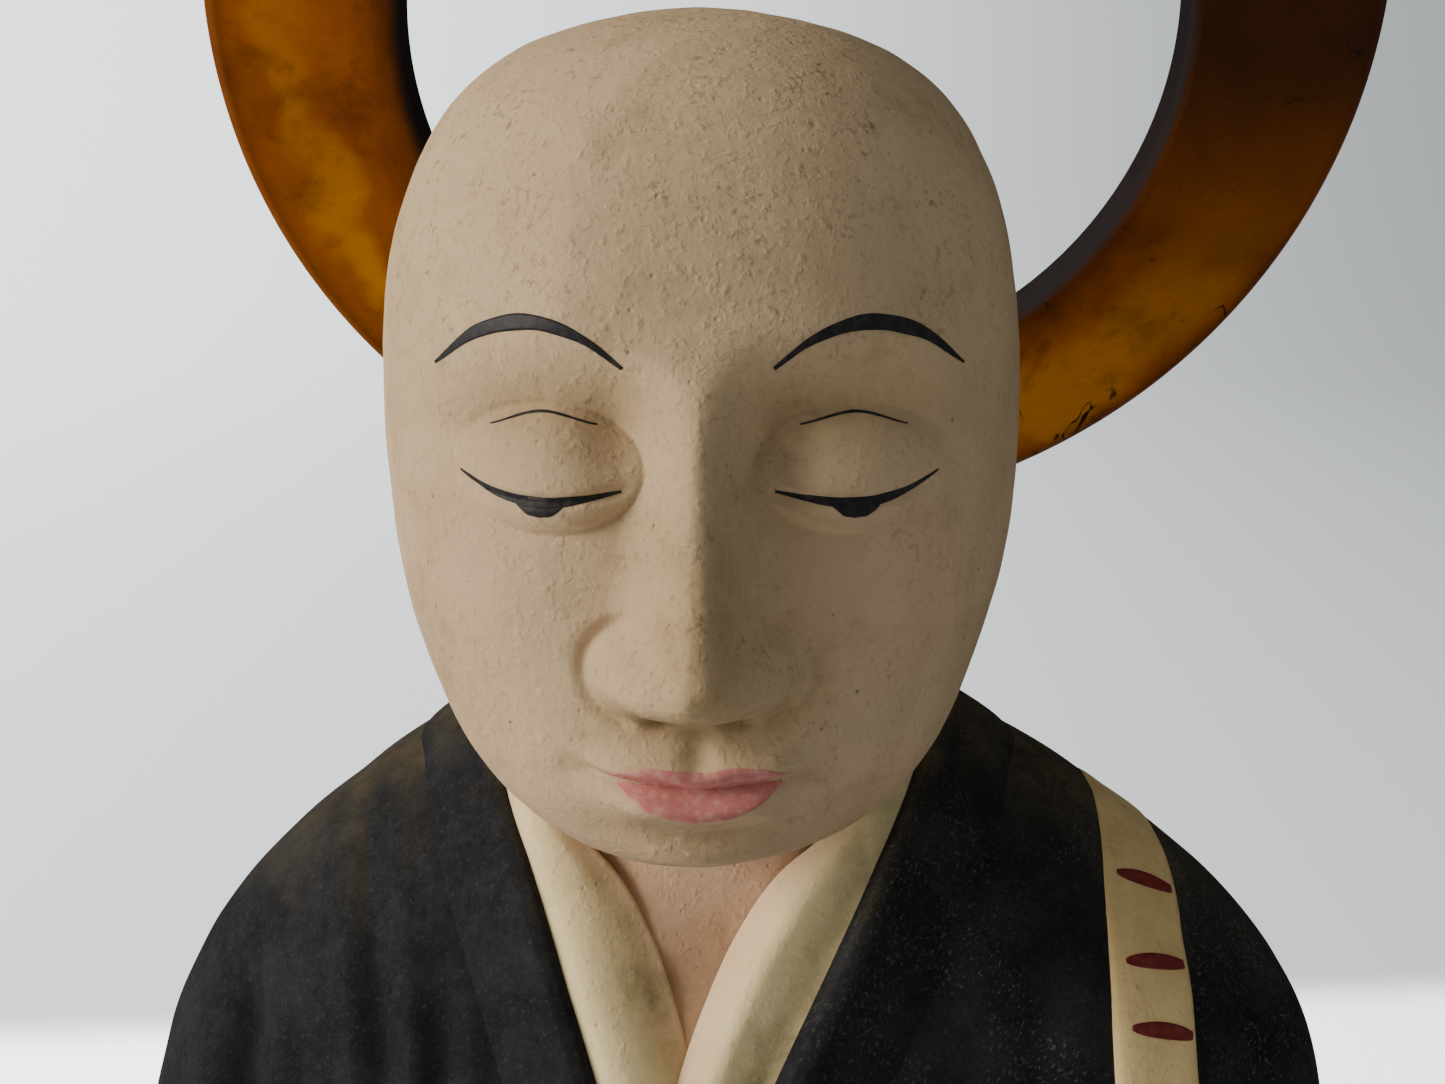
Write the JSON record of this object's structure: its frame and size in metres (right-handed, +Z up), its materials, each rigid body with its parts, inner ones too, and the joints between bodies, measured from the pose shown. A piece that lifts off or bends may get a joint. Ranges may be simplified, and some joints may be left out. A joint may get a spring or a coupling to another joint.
{
  "type": "seated monk figurine with halo ring",
  "caption": "Hollow painted clay figure of a seated, bald, robed monk, on a wooden plinth with a leaning amber-coloured ring on a brass post behind the head.",
  "frame": {"origin": "centre of the footprint, at the level of the surface that the feet stand on", "axes": "+Z up, the figure faces -Y, +X is towards the figure's own left"},
  "size_m": [0.164, 0.124, 0.2403],
  "materials": {
    "skin_clay": "matte paint on bisque, pitted",
    "robe_clay": "matte black paint on bisque",
    "collar_clay": "matte cream paint on bisque",
    "strap_clay": "matte straw paint on bisque",
    "bare_clay": "unpainted bisque",
    "amber_resin": "polished, translucent, mottled amber",
    "brass": "satin, slightly aged",
    "plinth_wood": "dark stain, satin",
    "peg_wood": "bare",
    "felt": "black felt"
  },
  "bodies": {
    "stand": {"plinth": "plinth_wood", "foot_front_right": "felt", "foot_front_left": "felt", "foot_back_right": "felt", "foot_back_left": "felt", "post_socket": "brass", "flange_screws": "brass", "locating_peg": "peg_wood"},
    "figure": {"robe_front_half": "robe_clay", "robe_back_half": "robe_clay", "base_slab": "bare_clay", "neck_stub": "skin_clay", "head_face_half": "skin_clay", "head_back_half": "skin_clay", "sleeve_right": "robe_clay", "sleeve_left": "robe_clay", "inner_collar_right": "collar_clay", "inner_collar_left": "collar_clay", "lapel_right": "robe_clay", "lapel_left": "robe_clay", "shoulder_strap": "strap_clay", "figure_felt": "felt"},
    "halo": {"halo_ring": "amber_resin", "halo_saddle": "brass", "saddle_pins": "brass", "halo_post": "brass"}
  },
  "joints": [
    {"name": "figure_lift", "type": "slide", "parent": "stand", "child": "figure", "axis": [0, 0, 1], "range_m": [0, 0.025]},
    {"name": "halo_lift", "type": "slide", "parent": "stand", "child": "halo", "axis": [0, 0, 1], "range_m": [0, 0.016]}
  ]
}
